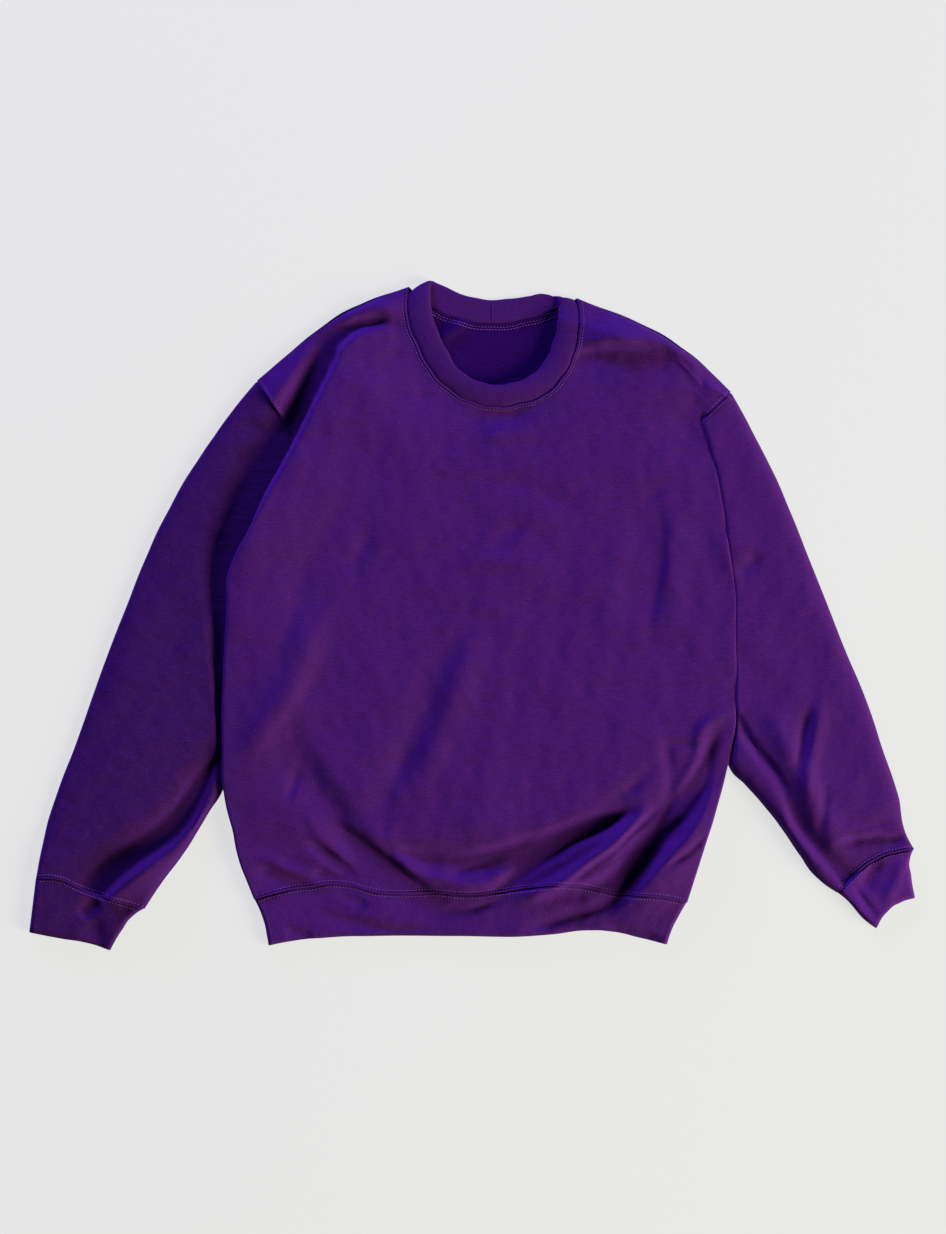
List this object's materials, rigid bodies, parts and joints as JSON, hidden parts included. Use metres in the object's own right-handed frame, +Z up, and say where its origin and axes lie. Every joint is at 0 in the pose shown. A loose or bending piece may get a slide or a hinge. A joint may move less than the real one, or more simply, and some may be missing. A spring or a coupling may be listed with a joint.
{
  "type": "crewneck sweatshirt laid flat",
  "caption": "Crewneck sweatshirt laid flat on its back, sleeves folded down beside the body, with ribbed collar, cuffs and hem.",
  "frame": {"origin": "centre of the outline, on the surface the garment lies on", "axes": "+Z up out of the front, +Y from the hem to the neck, +X to the wearer's left"},
  "size_m": [0.9299, 0.7036, 0.0154],
  "materials": {
    "front_jersey": "purple fleece-backed jersey, matt, fine knit",
    "back_jersey": "purple fleece-backed jersey, brushed inside",
    "sleeve_left_jersey": "purple fleece-backed jersey, matt, fine knit",
    "sleeve_right_jersey": "purple fleece-backed jersey, matt, fine knit",
    "cuff_left_rib": "purple fine rib knit",
    "cuff_right_rib": "purple fine rib knit",
    "collar_rib": "purple fine rib knit",
    "hem_rib": "purple fine rib knit"
  },
  "bodies": {
    "root": {"front_panel": "front_jersey", "back_panel": "back_jersey", "sleeve_left": "sleeve_left_jersey", "sleeve_right": "sleeve_right_jersey", "cuff_left": "cuff_left_rib", "cuff_right": "cuff_right_rib", "collar_band": "collar_rib", "hem_band": "hem_rib"}
  },
  "joints": []
}
